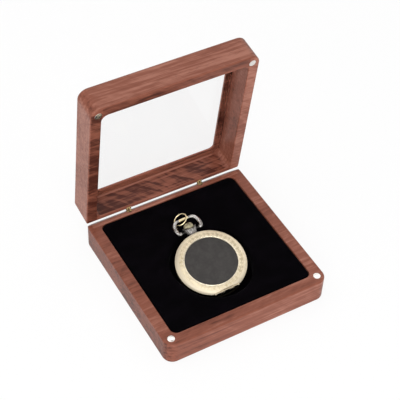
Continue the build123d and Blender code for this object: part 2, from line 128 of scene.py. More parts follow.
class WatchSettings(bpy.types.PropertyGroup):
    brass: bpy.props.FloatVectorProperty(
        name="Case brass", description="Pale brass of the front cover's broad ring",
        default=(0.86, 0.76, 0.58), size=3, subtype="COLOR", min=0, max=1)
    silver: bpy.props.FloatVectorProperty(
        name="Aged silver", description="Metal of the pendant, the bow and the band",
        default=(0.57, 0.55, 0.525), size=3, subtype="COLOR", min=0, max=1)
    plate: bpy.props.FloatVectorProperty(
        name="Front plate", description="Dark plate set into the front cover",
        default=(0.024, 0.0215, 0.020), size=3, subtype="COLOR", min=0, max=1)
    coin_teeth: bpy.props.IntProperty(
        name="Edge ridges", description="Fine ridges around the case band",
        default=180, min=24)
    leaves: bpy.props.IntProperty(
        name="Engraved leaves", description="Leaves engraved around the front cover",
        default=44, min=8)
    flutes: bpy.props.IntProperty(
        name="Crown flutes", description="Flutes around the winding crown",
        default=20, min=8)
    petal_ribs: bpy.props.IntProperty(
        name="Pendant ribs", description="Fine ribs around the pendant's petals",
        default=20, min=4)


class StageSettings(bpy.types.PropertyGroup):
    floor: bpy.props.FloatVectorProperty(
        name="Floor", description="Colour of the floor under the box",
        default=(0.95, 0.95, 0.95), size=3, subtype="COLOR", min=0, max=1)
    ambient: bpy.props.FloatProperty(
        name="Room light", description="Strength of the even light from all round",
        default=0.52, min=0, max=2)


# ------------ modelling helpers
def leave_edit():
    bpy.ops.object.mode_set(mode="OBJECT")


def deselect():
    if bpy.context.object and bpy.context.object.mode != "OBJECT":
        leave_edit()
    bpy.ops.object.select_all(action="DESELECT")


def only(piece):
    deselect()
    piece.select_set(True)
    bpy.context.view_layer.objects.active = piece
    return piece


def edit(piece, mode="VERT"):
    only(piece)
    bpy.ops.object.mode_set(mode="EDIT")
    bpy.ops.mesh.select_mode(type=mode)
    bpy.ops.mesh.select_all(action="SELECT")


def unpick(piece):
    """Leaves edit mode with nothing of the piece selected."""
    leave_edit()
    for part in (piece.data.polygons, piece.data.edges, piece.data.vertices):
        part.foreach_set("select", [False] * len(part))


def pick_points(piece, wanted):
    """Selects, in edit mode, the points whose place passes the test."""
    unpick(piece)
    for vertex in piece.data.vertices:
        vertex.select = wanted(vertex.co)
    bpy.ops.object.mode_set(mode="EDIT")


def pick_edges(piece, wanted):
    """Selects, in edit mode, the edges whose two ends pass the test."""
    unpick(piece)
    points = piece.data.vertices
    for edge in piece.data.edges:
        edge.select = wanted(*(points[i].co for i in edge.vertices))
    bpy.ops.object.mode_set(mode="EDIT")
    bpy.ops.mesh.select_mode(type="EDGE")


def closed(piece):
    """Merges doubles, closes open ends and turns every face outwards."""
    edit(piece)
    bpy.ops.mesh.remove_doubles(threshold=0.002 * MM)
    bpy.ops.mesh.fill_holes(sides=0)
    bpy.ops.mesh.select_all(action="SELECT")
    bpy.ops.mesh.normals_make_consistent(inside=False)
    leave_edit()
    return piece


def turned(name, profile, count):
    """Draws a ring of points out, step by step, through an outline of (radius, height) in mm."""
    radius, height = profile[0]
    deselect()
    bpy.ops.mesh.primitive_circle_add(vertices=count, radius=radius * MM, location=(0, 0, height * MM))
    piece = settled(bpy.context.object)
    piece.name = name
    edit(piece)
    for next_radius, next_height in profile[1:]:
        rise = (0, 0, (next_height - height) * MM)
        spread = next_radius / radius
        bpy.ops.mesh.extrude_region_move(TRANSFORM_OT_translate={"value": rise})
        bpy.ops.transform.resize(value=(spread, spread, 1), center_override=(0, 0, 0))
        radius, height = next_radius, next_height
    return closed(piece)


def rolled(name, middle, across, tall):
    """A ring of oval wire, its middle and half sizes given in mm."""
    radius, height = middle
    turns = [2 * math.pi * step / 12 for step in range(13)]
    return turned(name, [(radius + across * math.cos(a), height + tall * math.sin(a)) for a in turns], 160)


def column(point, count):
    """Which of the evenly spaced columns of points around the axis this one stands in."""
    return round(math.atan2(point.y, point.x) / (2 * math.pi) * count) % count


def apply(piece, kind, **settings):
    only(piece)
    modifier = piece.modifiers.new(kind.title(), kind)
    for key, value in settings.items():
        setattr(modifier, key, value)
    bpy.ops.object.modifier_apply(modifier=modifier.name)
    return piece


def settled(piece):
    """Moves a piece's place, turn and size into its mesh."""
    only(piece)
    bpy.ops.object.transform_apply(location=True, rotation=True, scale=True)
    return piece


def joined(pieces, name):
    only(pieces[0])
    for piece in pieces[1:]:
        piece.select_set(True)
    bpy.ops.object.join()
    pieces[0].name = name
    return pieces[0]


def laid(piece, place):
    """Puts a piece, modelled about its own axes, where it belongs."""
    piece.matrix_world = place @ piece.matrix_world
    return settled(piece)


def dressed(piece, material, body, replaces=(), smooth=math.radians(35)):
    only(piece)
    bpy.ops.object.shade_smooth_by_angle(angle=smooth)
    if material:
        piece.data.materials.clear()
        piece.data.materials.append(material)
    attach(piece, body)
    if replaces:
        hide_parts(*replaces)
    return piece


def finish_nodes(material, *names):
    """Gives carried-over nodes their material."""
    for name in names:
        materials = frame["nodes"][name].data.materials
        materials.clear()
        materials.append(material)


# ------------ material helpers
class Tree:
    """A tree of nodes that is built up step by step."""

    def __init__(self, tree):
        self.nodes = tree.nodes
        self.links = tree.links

    def add(self, kind, **inputs):
        node = self.nodes.new(kind)
        for name, value in inputs.items():
            self.plug(node.inputs[name.replace("_", " ")], value)
        return node

    def plug(self, socket, value):
        """Feeds a socket from another one, or sets it to a number or a colour."""
        if isinstance(value, bpy.types.NodeSocket):
            self.links.new(value, socket)
        elif socket.type == "RGBA":
            socket.default_value = (*value, 1)[:4]
        else:
            socket.default_value = value

    def maths(self, operation, first, second=0.0, third=0.0):
        node = self.nodes.new("ShaderNodeMath")
        node.operation = operation
        for socket, value in zip(node.inputs, (first, second, third)):
            self.plug(socket, value)
        return node.outputs[0]

    def any_ray(self, *kinds):
        """One for a ray of any of the kinds, and nothing for the others."""
        rays = self.add("ShaderNodeLightPath").outputs
        found = rays[kinds[0]]
        for kind in kinds[1:]:
            found = self.maths("MAXIMUM", found, rays[kind])
        return found


class Finish(Tree):
    """A material whose nodes are built up step by step."""

    patch_edge = 0.4 * MM

    def __init__(self, name, place=BOX):
        self.material = bpy.data.materials.new(name)
        self.material.use_nodes = True
        super().__init__(self.material.node_tree)
        self.shader = self.nodes["Principled BSDF"]
        turn = place.inverted()
        where = self.add("ShaderNodeTexCoord")
        mapping = self.add("ShaderNodeMapping", Vector=where.outputs["Object"])
        mapping.inputs["Location"].default_value = turn.translation
        mapping.inputs["Rotation"].default_value = turn.to_euler()
        self.point = mapping.outputs[0]

    def set(self, **inputs):
        for name, value in inputs.items():
            self.plug(self.shader.inputs[name.replace("_", " ")], value)

    def swap(self, amount, other):
        """Shows another shader in place of the material's own, by an amount."""
        blend = self.add("ShaderNodeMixShader", Fac=amount)
        self.links.new(self.shader.outputs[0], blend.inputs[1])
        self.links.new(other.outputs[0], blend.inputs[2])
        self.plug(self.nodes["Material Output"].inputs["Surface"], blend.outputs[0])

    def split(self):
        """The piece's own coordinates, one by one."""
        return self.add("ShaderNodeSeparateXYZ", Vector=self.point).outputs

    def stretched(self, scale, source=None):
        """The piece's own coordinates, each axis multiplied."""
        node = self.nodes.new("ShaderNodeVectorMath")
        node.operation = "MULTIPLY"
        self.plug(node.inputs[0], source or self.point)
        node.inputs[1].default_value = scale
        return node.outputs[0]

    def noise(self, vector, scale, detail=2.0, roughness=0.5, distortion=0.0):
        node = self.add("ShaderNodeTexNoise", Vector=vector, Scale=scale, Detail=detail,
                        Roughness=roughness, Distortion=distortion)
        return node.outputs["Fac"]

    def ramp(self, value, low, high, out_low=0.0, out_high=1.0):
        node = self.add("ShaderNodeMapRange", Value=value, From_Min=low, From_Max=high,
                        To_Min=out_low, To_Max=out_high)
        node.interpolation_type = "SMOOTHSTEP"
        return node.outputs[0]

    def mix(self, amount, first, second):
        node = self.nodes.new("ShaderNodeMix")
        node.data_type = "RGBA"
        self.plug(node.inputs[0], amount)
        self.plug(node.inputs[6], first)
        self.plug(node.inputs[7], second)
        return node.outputs[2]

    def slanted(self, scale, lean):
        """The piece's own coordinates with X leaning over Y and Z, then each axis multiplied."""
        turn = self.add("ShaderNodeVectorRotate", Vector=self.point)
        turn.rotation_type = "EULER_XYZ"
        turn.inputs["Rotation"].default_value = (0, lean, lean)
        return self.stretched(scale, turn.outputs[0])

    def inside(self, along, low, high):
        """One inside a box given by two corners in mm, falling to nothing just outside it."""
        within = 1.0
        for axis, first, last in zip("XYZ", low, high):
            middle, half = (first + last) / 2 * MM, (last - first) / 2 * MM
            away = self.maths("ABSOLUTE", self.maths("SUBTRACT", along[axis], middle))
            near = self.ramp(away, half + self.patch_edge, half - self.patch_edge)
            within = self.maths("MULTIPLY", near, within)
        return within

    def bump(self, height, depth, strength=1.0):
        """Raises the surface by a texture, to a depth in mm."""
        node = self.add("ShaderNodeBump", Height=height, Strength=strength, Distance=depth * MM)
        below = self.shader.inputs["Normal"]
        if below.is_linked:
            self.links.new(below.links[0].from_socket, node.inputs["Normal"])
        self.links.new(node.outputs[0], below)


def walnut(name, place, wood, painted_light_shade=()):
    """Oiled black walnut, its grain along X.

    Each patch is a box, by two corners in mm, with how much paler it is, as painted light (painted shade
    where negative), and how much curlier it is.
    """
    f = Finish(name, place)
    along = f.split()
    bend = f.noise(f.stretched((5, 40, 30)), 1.0, detail=2)
    curl = f.noise(f.stretched((26, 150, 120)), 1.0, detail=2)
    lean = f.maths("MULTIPLY_ADD", along["Y"], 0.22, along["Z"])
    bent = f.maths("MULTIPLY_ADD", bend, 24 * MM, lean)
    curled = f.maths("MULTIPLY_ADD", curl, 2.6 * MM, bent)
    layer = f.maths("DIVIDE", curled, wood.ring_pitch)
    saw = f.maths("FRACT", layer)
    line = f.maths("MAXIMUM", f.ramp(saw, 0.25, 0.92), f.ramp(saw, 0.0, 0.22, 1.0, 0.0))
    year = f.add("ShaderNodeTexWhiteNoise")
    year.noise_dimensions = "1D"
    f.plug(year.inputs["W"], f.maths("FLOOR", layer))
    streak = f.noise(f.stretched((9, 260, 260)), 1.0, detail=3, roughness=0.6)
    dash = f.noise(f.stretched((48, 620, 620)), 1.0, detail=2, roughness=0.6)
    cloud = f.noise(f.stretched((14, 34, 34)), 1.0, detail=2)
    fibre = f.noise(f.stretched((70, 2300, 2300)), 1.0, detail=2, roughness=0.7)
    figure = f.noise(f.slanted((330, 54, 54), 0.80), 1.0, detail=3, distortion=0.8)
    flame = f.ramp(figure, 0.32, 0.68, -1.0, 1.0)
    tone = f.maths("MULTIPLY_ADD", year.outputs["Value"], 0.14, -0.07)
    for grain, reach in ((streak, 0.16), (cloud, 0.20), (dash, 0.24), (figure, 0.10)):
        tone = f.maths("ADD", tone, f.ramp(grain, 0.28, 0.72, -reach, reach))
    tone = f.maths("ADD", tone, f.ramp(fibre, 0.2, 0.8, -0.13, 0.13))
    tone = f.maths("ADD", f.maths("MULTIPLY_ADD", line, -0.20, 0.10), tone)
    # Painted light and shade: each patch shifts the tone of one face, paler where it should seem lit and
    # darker where it should seem shaded, and adds curly figure.
    for low, high, shift, curly in painted_light_shade:
        own = f.maths("MULTIPLY_ADD", flame, curly, shift)
        tone = f.maths("MULTIPLY_ADD", f.inside(along, low, high), own, tone)
    colour = f.mix(f.ramp(tone, 0.0, 0.75), wood.middle, wood.pale)
    colour = f.mix(f.ramp(tone, 0.05, -0.85), colour, wood.dark)
    pores = f.add("ShaderNodeTexVoronoi", Vector=f.stretched((190, 2300, 2300)), Scale=1.0)
    pore = f.ramp(pores.outputs["Distance"], 0.30, 0.14)
    crowd = f.ramp(f.noise(f.stretched((30, 260, 260)), 1.0), 0.45, 0.62)
    pore = f.maths("MULTIPLY", pore, crowd)
    colour = f.mix(f.maths("MULTIPLY", pore, 0.5), colour, wood.dark)
    f.set(Base_Color=colour, Roughness=f.ramp(fibre, 0.2, 0.8, 0.34, 0.44))
    f.set(Specular_IOR_Level=0.16)
    f.bump(fibre, 0.010)
    f.bump(pore, -0.030)
    return f.material


def velvet(name, pad):
    """Short black pile that catches a little light where it turns away."""
    f = Finish(name)
    pile = f.noise(f.point, 2600, detail=2, roughness=0.7)
    brushed = f.noise(f.stretched((60, 90, 60)), 1.0, detail=2)
    lit = [min(1.0, channel * 1.9) for channel in pad.colour]
    f.set(Base_Color=f.mix(f.ramp(brushed, 0.35, 0.7), pad.colour, lit), Roughness=0.95)
    f.set(Specular_IOR_Level=0.02, Sheen_Weight=0.012, Sheen_Roughness=0.35, Sheen_Tint=(0.8, 0.78, 0.85))
    f.bump(pile, 0.08, 0.5)
    return f.material


def board(name):
    f = Finish(name)
    fibres = f.noise(f.stretched((900, 240, 900)), 1.0, detail=4, roughness=0.7)
    f.set(Base_Color=f.mix(fibres, (0.09, 0.082, 0.075), (0.17, 0.155, 0.14)), Roughness=0.9)
    f.bump(fibres, 0.04)
    return f.material


def clear_plastic(name, tint, index, scratch_scale):
    """Clear sheet that lets light through to what lies behind it."""
    f = Finish(name)
    wipe = f.noise(f.stretched((scratch_scale, scratch_scale * 0.06, scratch_scale)), 1.0, detail=2)
    f.set(Base_Color=f.mix(wipe, tint, [channel * 0.99 for channel in tint]), Roughness=0.0)
    f.set(Transmission_Weight=1.0, IOR=index)
    f.swap(f.any_ray("Is Shadow Ray"), f.add("ShaderNodeBsdfTransparent", Color=tint))
    return f.material


def metal(name, colour, tarnish, roughness, place=BOX, age=0.5, shade_reach=None):
    """Worn metal: clouded tarnish, fine brushing and small handling marks.

    Given a length as its last argument, it also paints shade over one side of the piece, running to full
    colour over twice that length.
    """
    brush, depth = 400, 0.01
    shade_lean, shaded_side_level = 1.3, 0.74
    f = Finish(name, place)
    cloud = f.noise(f.point, 330, detail=4, roughness=0.65)
    spots = f.noise(f.point, 1500, detail=3, roughness=0.7)
    lines = f.noise(f.stretched((brush, brush, brush)), 1.0, detail=3, roughness=0.7)
    dull = f.ramp(f.maths("ADD", cloud, f.maths("MULTIPLY", spots, 0.5)), 1.0 - age, 1.35 - age * 0.7)
    tarnish_and_shade = f.mix(dull, colour, tarnish)
    # Painted shade: the colour darkens over one side of the piece and fades to full colour along a slanted
    # line.
    if shade_reach:
        along = f.split()
        across = f.maths("MULTIPLY_ADD", along["X"], shade_lean, along["Y"])
        tarnish_and_shade = f.mix(f.ramp(across, -shade_reach, shade_reach), [channel * shaded_side_level for channel in colour], tarnish_and_shade)
    f.set(Base_Color=tarnish_and_shade, Metallic=1.0)
    rough = f.maths("MULTIPLY_ADD", dull, 0.14, roughness - 0.04)
    f.set(Roughness=f.maths("MULTIPLY_ADD", lines, 0.08, rough))
    f.bump(lines, depth)
    f.bump(spots, depth)
    return f.material


def dark_plate(name, colour):
    """Blackened plate with a faint mottle and rubbed spots."""
    f = Finish(name, WATCH)
    mottle = f.noise(f.point, 260, detail=5, roughness=0.6)
    rubbed = f.noise(f.point, 1200, detail=3, roughness=0.7)
    lit = [min(1.0, channel * 1.7) for channel in colour]
    shade = f.ramp(f.maths("ADD", mottle, f.maths("MULTIPLY", rubbed, 0.35)), 0.45, 0.95)
    f.set(Base_Color=f.mix(shade, colour, lit), Roughness=f.ramp(rubbed, 0.3, 0.8, 0.46, 0.6))
    f.set(Specular_IOR_Level=0.35)
    f.bump(rubbed, 0.02)
    return f.material


def enamel(name):
    f = Finish(name, WATCH)
    tint = f.noise(f.point, 90, detail=3)
    f.set(Base_Color=f.mix(tint, (0.80, 0.78, 0.71), (0.88, 0.87, 0.82)), Roughness=0.22, Coat_Weight=0.4)
    f.bump(f.noise(f.point, 700), 0.004)
    return f.material


def gilt(name):
    """Gilt plate finished with overlapping round polishing marks."""
    f = Finish(name, WATCH)
    rounds = f.add("ShaderNodeTexVoronoi", Vector=f.stretched((700, 700, 1)), Scale=1.0)
    rings = f.maths("SINE", f.maths("MULTIPLY", rounds.outputs["Distance"], 42.0))
    f.set(Base_Color=f.mix(f.ramp(rings, -1, 1), (0.62, 0.46, 0.2), (0.78, 0.62, 0.33)), Metallic=1.0)
    f.set(Roughness=f.ramp(rings, -1, 1, 0.25, 0.4))
    f.bump(rings, 0.01)
    return f.material


def moulded(name, colour):
    f = Finish(name, WATCH)
    grain = f.noise(f.point, 2200, detail=2)
    darker = [channel * 0.85 for channel in colour]
    f.set(Base_Color=f.mix(grain, darker, colour), Roughness=0.5)
    f.bump(grain, 0.01)
    return f.material


# ------------ box
class DISPLAYBOX_OT_walnut(bpy.types.Operator):
    """Finish the base and the lid frame in walnut whose grain runs through both, with light and shade painted
    onto single faces
    """
    bl_idname = "display_box.walnut"
    bl_label = "Walnut base and lid"

    # Painted light and shade on the base: each box makes one face's tone paler where it should seem lit and
    # darker where it should seem shaded.
    base_painted_light_shade = (
        ((-56, 50.5, 17.5), (56, 62, 19.5), 0.45, 0.0),
        ((50.5, -58, 17.5), (57, 50, 19.5), 0.08, 0.0),
        ((-60, -56, 1), (-58, 56, 17.5), -0.24, 0.0),
        ((-56, -60, 1), (56, -58, 17.5), 0.12, 0.0),
    )
    # Painted light and shade on the lid: each box makes one face's tone paler where it should seem lit and
    # darker where it should seem shaded; the second number adds curly figure.
    lid_painted_light_shade = (
        ((-58.6, -55, 17), (-51.2, 60, 18.9), -0.55, 0.10),
        ((51.8, -58, 17), (58.4, 57, 18.9), 0.30, 0.15),
        ((-51, -58.6, 17), (51.5, -51.2, 18.9), -0.34, 0.0),
        ((-52, 51, 19.5), (-10, 52.2, 33.2), -0.68, 0.30),
        ((-10, 51, 19.5), (52, 52.2, 33.2), -0.54, 0.38),
        ((-52, 40, 35), (52, 52, 36.6), -0.50, 0.0),
        ((-46, 51, 33.3), (46, 53, 34.6), 0.60, 0.0),
        ((40, -50, 35), (52, 40, 36.6), -0.50, 0.0),
        ((-57, -60, 19.2), (57, -58, 38), 0.28, 0.0),
        ((-60, -57, 19.2), (-58, 57, 38), 0.35, 0.0),
    )

    def execute(self, context):
        wood = context.scene.display_box_wood
        finish_nodes(walnut("walnut_base", BOX, wood, self.base_painted_light_shade), "base_body")
        finish_nodes(walnut("walnut_lid", LID, wood, self.lid_painted_light_shade), "lid_frame")
        return {"FINISHED"}


class DISPLAYBOX_OT_pane(bpy.types.Operator):
    """Finish the window pane in clear sheet with a faint wipe pattern"""
    bl_idname = "display_box.pane"
    bl_label = "Window pane"

    def execute(self, context):
        finish_nodes(clear_plastic("clear_pane", (0.948, 0.944, 0.944), 1.12, 300), "window_pane")
        return {"FINISHED"}


class DISPLAYBOX_OT_magnets(bpy.types.Operator):
    """Model the plated magnet discs with a rolled edge and a shallow dish"""
    bl_idname = "display_box.magnets"
    bl_label = "Magnets"

    outline = ((0.5, -0.02), (1.7, -0.05), (1.95, 0.0), (2.2, 0.0), (2.4, -0.07), (2.45, -0.2),
               (2.45, -2.9), (2.3, -3.0), (0.5, -3.0))
    half_height = 1.5

    def execute(self, context):
        nickel = metal("nickel_plate", (0.74, 0.70, 0.66), (0.34, 0.31, 0.28), 0.12, age=0.3)
        for part, place, turn in (("base", BOX, 0.0), ("lid", LID, math.pi)):
            for side in ("left", "right"):
                self.magnet(part, side, place, turn, nickel)
        return {"FINISHED"}

    def magnet(self, part, side, place, turn, nickel):
        node = f"{part}_magnet_{side}"
        low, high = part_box(node)
        middle = place.inverted() @ ((low + high) / 2)
        disc = turned(f"{part}_magnet_disc_{side}", self.outline, 48)
        face_out = Matrix.Translation(middle) @ Matrix.Rotation(turn, 4, "X")
        laid(disc, place @ face_out @ Matrix.Translation((0, 0, self.half_height * MM)))
        dressed(disc, nickel, part, (node,))


class DISPLAYBOX_OT_hinges(bpy.types.Operator):
    """Finish the barrels, links and pins of both hinges"""
    bl_idname = "display_box.hinges"
    bl_label = "Hinges"

    def execute(self, context):
        brass = metal("hinge_brass", (0.62, 0.45, 0.22), (0.14, 0.085, 0.04), 0.20, age=0.5)
        steel = metal("pin_steel", (0.6, 0.59, 0.57), (0.25, 0.23, 0.21), 0.28, age=0.3)
        for side in ("left", "right"):
            finish_nodes(brass, *(f"{side}_hinge_{part}" for part in ("base_barrel", "lid_barrel", "links")))
            finish_nodes(steel, *(f"{side}_hinge_{part}" for part in ("base_pin", "lid_pin")))
        return {"FINISHED"}


# ------------ pad
class DISPLAYBOX_OT_pad(bpy.types.Operator):
    """Model the velvet pad: a foam block with a round seat, covered so that every edge is soft"""
    bl_idname = "display_box.pad"
    bl_label = "Velvet pad"

    seat_radius = 26.9
    seat_front_radius = 25.3
    seat_front_shift = 5.5
    seat_middle = (-0.8, -9.2)
    seat_floor = 7.4
    floor_round = 1.2
    corner_round = 4.6
    edge_round = 0.9

    def execute(self, context):
        pad = context.scene.display_box_pad
        finish_nodes(board("grey_board"), "pad_board")
        block = self.block()
        self.sink_seat(block, pad)
        self.soften(block, pad)
        dressed(block, velvet("black_velvet", pad), "base", ("pad_velvet", "pad_foam"), math.pi)
        return {"FINISHED"}

    def block(self):
        """The pad's outside, with rounded corners and a softly rounded top edge."""
        low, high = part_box("pad_velvet")
        low = Vector((low.x, low.y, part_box("pad_foam")[0].z))
        deselect()
        bpy.ops.mesh.primitive_cube_add(size=1, location=(low + high) / 2, scale=high - low)
        block = settled(bpy.context.object)
        block.name = "velvet_pad"
        edit(block, "EDGE")
        pick_edges(block, lambda a, b: abs(a.z - b.z) > MM)
        bpy.ops.mesh.bevel(offset=self.corner_round * MM, segments=8)
        pick_edges(block, lambda a, b: min(a.z, b.z) > high.z - 0.01 * MM)
        bpy.ops.mesh.bevel(offset=self.edge_round * MM, segments=4)
        leave_edit()
        return block

    def sink_seat(self, block, pad):
        """Cuts the seat: a circle drawn out to the front, flared at its mouth by the lip's round."""
        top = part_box("pad_velvet")[1].z
        cutters = []
        x, y = self.seat_middle
        flare = pad.lip_round / MM
        for radius, shift in ((self.seat_radius, 0), (self.seat_front_radius, self.seat_front_shift)):
            floor, curve = self.seat_floor, self.floor_round
            profile = [(radius - curve, floor), (radius, floor + curve)]
            for step in range(7):
                angle = math.radians(15 * step)
                reach = radius + flare * (1 - math.cos(angle))
                profile.append((reach, top / MM - flare + flare * math.sin(angle)))
            profile.append((profile[-1][0], top / MM + 1))
            cutter = turned("seat_cutter", profile, 144)
            cutter.location = (x * MM, (y - shift) * MM, 0)
            cutters.append(cutter)
        for cutter in cutters:
            apply(block, "BOOLEAN", operation="DIFFERENCE", object=cutter, solver="EXACT")
        for cutter in cutters:
            bpy.data.objects.remove(cutter)

    def soften(self, block, pad):
        """Rebuilds the block in even faces and lets the cover's surface wander a little."""
        apply(block, "REMESH", mode="VOXEL", voxel_size=pad.grain)
        apply(block, "SMOOTH", factor=0.5, iterations=3)
        drift = bpy.data.textures.new("cover_drift", "CLOUDS")
        drift.noise_scale = 14 * MM
        apply(block, "DISPLACE", texture=drift, texture_coords="LOCAL", strength=0.16 * MM, mid_level=0.9)


# ------------ watch case
class DISPLAYBOX_OT_watch_case(bpy.types.Operator):
    """Finish the watch's case and model the ornament of its front cover and band"""
    bl_idname = "display_box.watch_case"
    bl_label = "Watch case"

    ring_start = (17.9, 2.9)
    ring_middle = (21.4, 2.1)
    ring_end = (23.4, 0.7)
    leaf_rows = 9
    leaf_columns = 8
    leaf_inner = 18.35
    leaf_outer = 20.95
    leaf_relief = 0.07
    bead_circle = 21.22
    bead_count = 168
    bead_radius = 0.24
    hinge_flat = -21.35
    lip_reach = 8.5

    def execute(self, context):
        watch = context.scene.display_box_watch
        # The last argument paints shade over one side of the cover's broad ring.
        brass = metal("case_brass", watch.brass, (0.58, 0.48, 0.32), 0.54, WATCH, 0.34, 24 * MM)
        grooves = metal("groove_brass", (0.68, 0.59, 0.42), (0.46, 0.38, 0.25), 0.46, WATCH, age=0.45)
        # Painted shade: the case band, the back and the band's ridges get near-black brass that stands in for
        # the shade of the seat around them.
        dark = metal("brass_darkened_as_painted_shade", (0.050, 0.042, 0.032), (0.016, 0.013, 0.010), 0.30, WATCH, age=0.5)
        steel = metal("hinge_pin_steel", (0.6, 0.58, 0.54), (0.25, 0.22, 0.19), 0.3, WATCH)
        finish_nodes(brass, "watch_front_cover")
        finish_nodes(dark_plate("dark_front_plate", watch.plate), "watch_cover_inlay")
        finish_nodes(dark, "watch_case_band", "watch_case_back")
        finish_nodes(steel, "watch_cover_pin")
        finish_nodes(clear_plastic("crystal", (0.98, 0.985, 0.985), 1.5, 500), "watch_crystal")
        self.leaf_band(watch, brass, grooves)
        self.inner_ring()
        self.beads(brass)
        self.outer_rim(brass)
        self.hinge_lip(brass)
        self.coin_edge(watch, dark)
        return {"FINISHED"}

    def ring_height(self, radius):
        """Height of the cover's broad ring at a radius: an arc through its three points."""
        (x1, z1), (x2, z2), (x3, z3) = self.ring_start, self.ring_middle, self.ring_end
        d = 2 * (x1 * (z2 - z3) + x2 * (z3 - z1) + x3 * (z1 - z2))
        s1, s2, s3 = x1**2 + z1**2, x2**2 + z2**2, x3**2 + z3**2
        cx = (s1 * (z2 - z3) + s2 * (z3 - z1) + s3 * (z1 - z2)) / d
        cz = (s1 * (x3 - x2) + s2 * (x1 - x3) + s3 * (x2 - x1)) / d
        reach = math.hypot(x1 - cx, z1 - cz)
        return cz + math.sqrt(reach**2 - (radius - cx)**2)

    def leaf_band(self, watch, brass, grooves):
        """A wreath of paired leaves, raised a little over the ring's slope."""
        rows = self.leaf_rows
        inner, outer = self.leaf_inner, self.leaf_outer
        radii = [inner + (outer - inner) * i / (rows - 1) for i in range(rows)]
        count = watch.leaves * self.leaf_columns
        profile = [(inner - 0.05, self.ring_height(inner) - 0.06)]
        profile += [(r, self.ring_height(r) + 0.015) for r in radii]
        profile += [(outer + 0.05, self.ring_height(outer) - 0.06)]
        band = turned("cover_leaf_band", profile + [profile[0]], count)
        middle = (rows - 1) / 2
        step = radii[1] - radii[0]

        def raised(point):
            radius = math.hypot(point.x, point.y) / MM
            row = (radius - inner) / step
            if row < 0.5 or row > rows - 1.5 or point.z < (self.ring_height(radius) - 0.02) * MM:
                return False
            side = abs(row - middle)
            along = (column(point, count) - side * 1.3) % self.leaf_columns
            return side > 0.4 and 0.5 < along < 5.2 - side * 0.35

        pick_points(band, raised)
        bpy.ops.transform.translate(value=(0, 0, self.leaf_relief * MM))
        leave_edit()
        band.data.materials.append(brass)
        band.data.materials.append(grooves)
        for face in band.data.polygons:
            face.material_index = 0 if sum(band.data.vertices[i].select for i in face.vertices) > 2 else 1
        apply(band, "SUBSURF", levels=1, render_levels=1)
        laid(band, WATCH)
        dressed(band, None, "watch_cover", smooth=math.radians(60))

    def inner_ring(self):
        """The bright rolled rim around the sunk plate."""
        bright = metal("bright_rim", (0.80, 0.73, 0.58), (0.36, 0.29, 0.19), 0.24, WATCH, age=0.35)
        rim = rolled("cover_inner_rim", (17.78, 2.78), 0.32, 0.26)
        laid(rim, WATCH)
        dressed(rim, bright, "watch_cover")

    def beads(self, brass):
        """A fine row of beads between the leaves and the plain outer slope."""
        radius = self.bead_circle
        deselect()
        bpy.ops.mesh.primitive_uv_sphere_add(
            segments=8, ring_count=5, radius=self.bead_radius * MM,
            location=(radius * MM, 0, (self.ring_height(radius) - 0.02) * MM))
        row = settled(bpy.context.object)
        row.name = "cover_bead_row"
        edit(row)
        bpy.ops.mesh.spin(steps=self.bead_count, dupli=True, angle=2 * math.pi,
                          center=(0, 0, 0), axis=(0, 0, 1))
        bpy.ops.mesh.select_all(action="SELECT")
        bpy.ops.mesh.remove_doubles(threshold=0.001 * MM)
        leave_edit()
        laid(row, WATCH)
        dressed(row, brass, "watch_cover", smooth=math.pi)

    def outer_rim(self, brass):
        """The rolled edge around the cover, open at the hinge."""
        rim = rolled("cover_outer_rim", (23.33, 0.36), 0.34, 0.36)
        self.open_at_hinge(rim)
        laid(rim, WATCH)
        dressed(rim, brass, "watch_cover")

    def hinge_lip(self, brass):
        """The cover's straight edge over its knuckles, with a rounded stop at each end."""
        reach = self.lip_reach
        deselect()
        bpy.ops.mesh.primitive_cube_add(
            size=1, location=(0, (self.hinge_flat - 0.24) * MM, 0.42 * MM),
            scale=(2 * reach * MM, 0.7 * MM, 0.62 * MM))
        parts = [bpy.context.object]
        for side in (-1, 1):
            bpy.ops.mesh.primitive_uv_sphere_add(
                segments=16, ring_count=8, radius=0.62 * MM,
                location=(side * reach * MM, (self.hinge_flat - 0.42) * MM, 0.36 * MM))
            parts.append(bpy.context.object)
        lip = settled(joined(parts, "cover_hinge_lip"))
        apply(lip, "BEVEL", width=0.12 * MM, segments=2, limit_method="ANGLE", angle_limit=math.radians(60))
        laid(lip, WATCH)
        dressed(lip, brass, "watch_cover")

    def open_at_hinge(self, ring):
        edit(ring)
        bpy.ops.mesh.bisect(plane_co=(0, self.hinge_flat * MM, 0), plane_no=(0, 1, 0),
                            clear_inner=True, use_fill=True)
        leave_edit()

    def coin_edge(self, watch, finish):
        """Fine upright ridges around the band, stopped short of the hinge."""
        count = watch.coin_teeth * 2
        profile = [(22.85, -3.75), (23.0, -3.7), (23.0, -1.35), (22.85, -1.3), (22.85, -3.75)]
        edge = turned("band_coin_edge", profile, count)
        pick_points(edge, lambda p: math.hypot(p.x, p.y) > 22.95 * MM and column(p, count) % 2 == 0)
        bpy.ops.transform.resize(value=(0.9935, 0.9935, 1), center_override=(0, 0, 0))
        self.open_at_hinge(edge)
        laid(edge, WATCH)
        dressed(edge, finish, "watch", smooth=math.radians(20))


